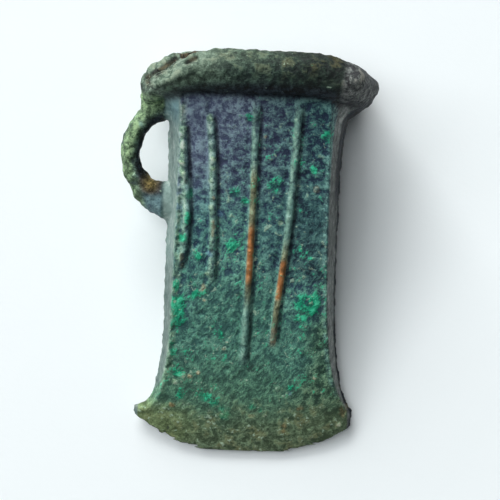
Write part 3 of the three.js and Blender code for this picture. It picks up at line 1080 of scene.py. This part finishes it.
    def _shades(self, places: Array, normals: Array) -> dict[str, Array]:
        """Everything that the material reads from the mesh.

        Args:
            places: the points, in mm.
            normals: their outward directions.

        Returns:
            Values for each point, by name.
        """
        x, y, z = places.T
        grain = Grain(self.seed)
        drift = 2.2 * grain.at(places, 7.0, 3)
        collar_y = self.form.collar_y(x, y, z)
        body = self._spread(FRONT, x + drift, y - 1.4 * drift)
        collar = self._spread(COLLAR, x + drift, collar_y + 0.25 * drift)
        on_collar = smooth(80.6, 82.2, collar_y)[:, None]
        layers = {name: body[name] + on_collar * (collar[name] - body[name]) for name in body}
        bare = np.zeros(len(places))
        for tone, cover in self._zones(places, normals):
            share = np.clip(cover, 0, 1)[:, None]
            for name, layer in layers.items():
                layer += share * (tone.shade(name) - layer)
            bare += share[:, 0] * ((tone is COPPER) - bare)
        facet = self._facet(places)
        rise = 0.5 + 0.4 * self._lumps(places) - 0.3 * self._pits(places)
        front = smooth(0.0, 0.4, normals[:, 2]) * (1 - facet) * smooth(80.0, 77.0, y)
        front = front * (z > 0) * (1 - self._socket(places, normals))
        patch = 1.4 * grain.at(places + 11.0, 4.2, 3) + 0.1 * smooth(66, 40, y)
        patch = patch - 1.1 * smooth(16, 5, y + drift)
        quiet = 0.9 * bell(x + 12.0, 6.0) * smooth(52, 66, y)
        smooth_ribs = sum(smooth(1.0, 0.6, np.abs(r.off(x, y))) * r.alive(y) for r in self.ribs[2:])
        layers["bare"] = bare
        still = 0.95 * facet * (1 - self._loop(places)) + 0.8 * bare + 0.6 * smooth_ribs + 0.35 * quiet
        layers["calm"] = np.clip(still, 0, 1)
        layers["rise"] = np.clip(rise, 0, 1)
        crusts = [g for g in self.growths if g.tint is Tint.EMERALD]
        crusted = sum(g.strength * self._near(g, x, y) for g in crusts)
        layers["green"] = np.clip((0.2 + 0.42 * patch - quiet + 0.7 * crusted) * front, 0, 0.95)
        soil = smooth(18.0, 6.0, y + drift - 0.15 * x)
        layers["earthy"] = np.maximum(soil, 0.6 * smooth(84.0, 88.0, collar_y))
        layers["limy"] = (1 - quiet) * front * np.clip(0.6 + 0.5 * patch + 0.6 * smooth(12, 8, y), 0, 1)
        layers["ridged"] = smooth(66, 44, y + drift) * smooth(2, 14, y)
        return layers


# ---------------------------------------------------------------- light and camera


@dataclass(frozen=True)
class Lamp:
    """A soft rectangular light aimed at the axe: how it stands, in degrees and metres, and its power."""

    name: str
    turn: float
    height: float
    distance: float
    size: tuple[float, float]
    power: float
    colour: Colour

    def build(self) -> None:
        """Adds the light. Its turn counts from beyond the mouth towards the loop's side."""
        data = bpy.data.lights.new(self.name, "AREA")
        data.shape = "RECTANGLE"
        data.size, data.size_y = self.size
        data.energy = self.power
        data.color = self.colour
        turn, height = math.radians(self.turn), math.radians(self.height)
        towards = Vector(
            (-math.sin(turn) * math.cos(height), math.cos(turn) * math.cos(height), math.sin(height))
        )
        lamp = bpy.data.objects.new(self.name, data)
        lamp.location = towards * self.distance
        lamp.rotation_euler = towards.to_track_quat("Z", "Y").to_euler()
        bpy.context.scene.collection.objects.link(lamp)


LAMPS = (
    Lamp("window", 19.0, 27.0, 3.6, (2.45, 1.5), 132.0, (1.0, 0.995, 0.985)),
    Lamp("room", 55.0, 43.0, 3.3, (3.1, 1.5), 55.0, (0.99, 0.995, 1.0)),
    Lamp("ceiling", 68.0, 78.0, 3.2, (2.0, 2.0), 37.5, (0.97, 0.99, 1.0)),
)


@dataclass(frozen=True)
class Studio:
    """Low window light from beyond the mouth, a little to the loop's side, and a camera straight above."""

    lamps: tuple[Lamp, ...] = LAMPS
    fill: float = 0.03
    eye: tuple[float, float, float] = (1.25, 0.55, 350.0)
    lens: float = 110.6
    roll: float = 2.3

    def light(self) -> None:
        """Adds the lights and the weak fill of the room."""
        for lamp in self.lamps:
            lamp.build()
        world = bpy.data.worlds.new("room")
        world.use_nodes = True
        sky = world.node_tree.nodes["Background"]
        sky.inputs["Color"].default_value = (0.93, 0.97, 1.0, 1.0)
        sky.inputs["Strength"].default_value = self.fill
        bpy.context.scene.world = world
        bpy.context.scene.view_settings.view_transform = "Standard"

    def camera(self) -> None:
        """Hangs the camera above the axe, looking straight down."""
        data = bpy.data.cameras.new("above")
        data.sensor_width = 36.0
        data.lens = self.lens
        data.clip_start, data.clip_end = 0.01, 10.0
        camera = bpy.data.objects.new("above", data)
        camera.location = Vector(self.eye) * MM
        camera.rotation_euler = (0.0, 0.0, math.radians(self.roll))
        bpy.context.scene.collection.objects.link(camera)
        bpy.context.scene.camera = camera


def main() -> None:
    """Builds the camera and light, the table, and the dressed axe head."""
    logging.basicConfig(level=logging.INFO, format="%(name)s: %(message)s")
    studio = Studio()
    studio.camera()
    studio.light()
    TableTop().build()
    axe = AxeHead(AxeAxes.of_record(frame["record"]))
    piece = axe.build(frame["nodes"]["axe_head"])
    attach(piece, "root")
    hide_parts("axe_head")
    log.info("axe head: %d triangles", len(piece.data.polygons))


if __name__ == "__main__":
    main()
